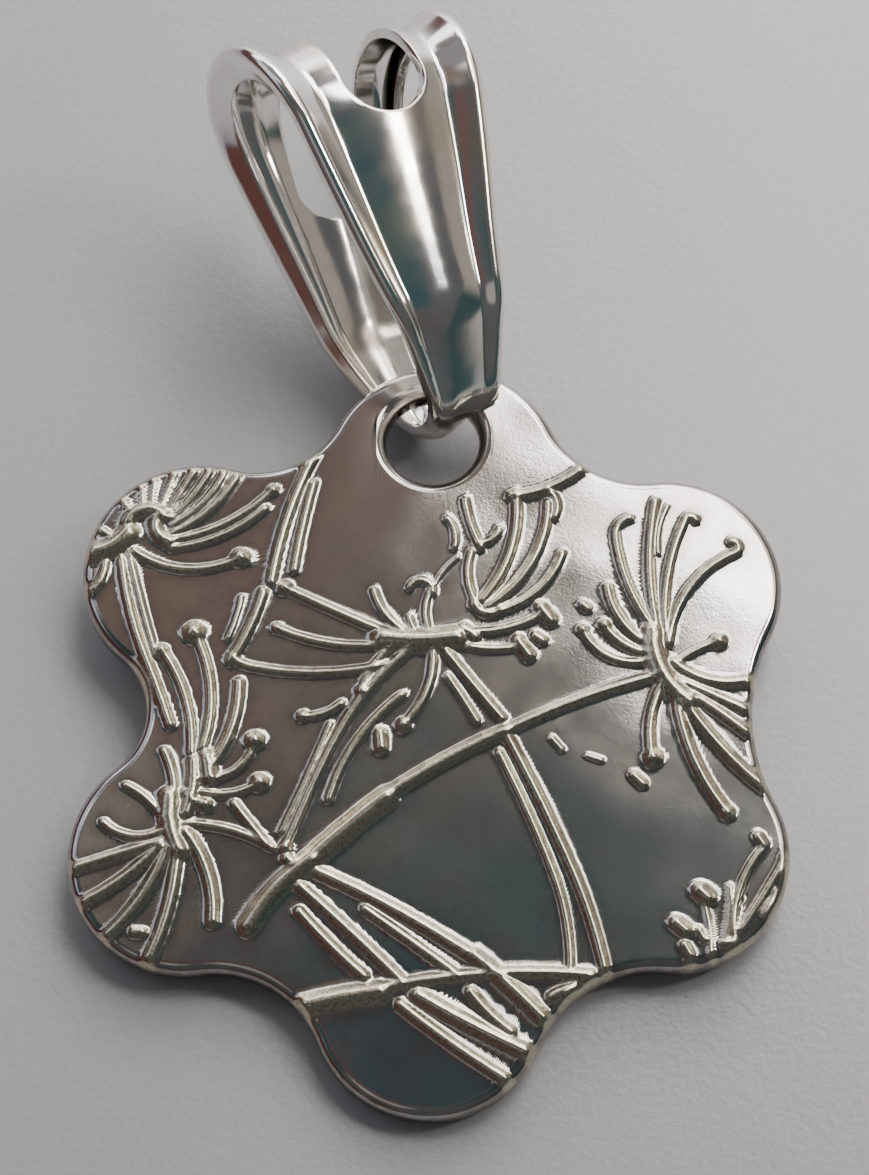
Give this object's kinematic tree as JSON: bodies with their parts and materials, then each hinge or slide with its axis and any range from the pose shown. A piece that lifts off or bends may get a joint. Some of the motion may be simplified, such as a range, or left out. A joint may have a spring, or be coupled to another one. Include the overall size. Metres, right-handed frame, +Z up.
{
  "type": "flower pendant",
  "caption": "Six-lobed silver flower pendant with raised umbel and seed-head relief, hung on a corrugated, slotted bail.",
  "frame": {"origin": "centre of the bounding box's bottom: the pendant lies on a surface on its back, leaning on its bail", "axes": "+Z up, away from the surface; +Y from the flower's bottom lobe towards the bail; +X to the right, seen from above"},
  "size_m": [0.0244, 0.0392, 0.0111],
  "materials": {
    "cast_silver": "satin cast silver, tarnished in the recesses",
    "bright_silver": "polished silver"
  },
  "bodies": {
    "root": {"flower": "cast_silver", "bail": "bright_silver"}
  },
  "joints": []
}
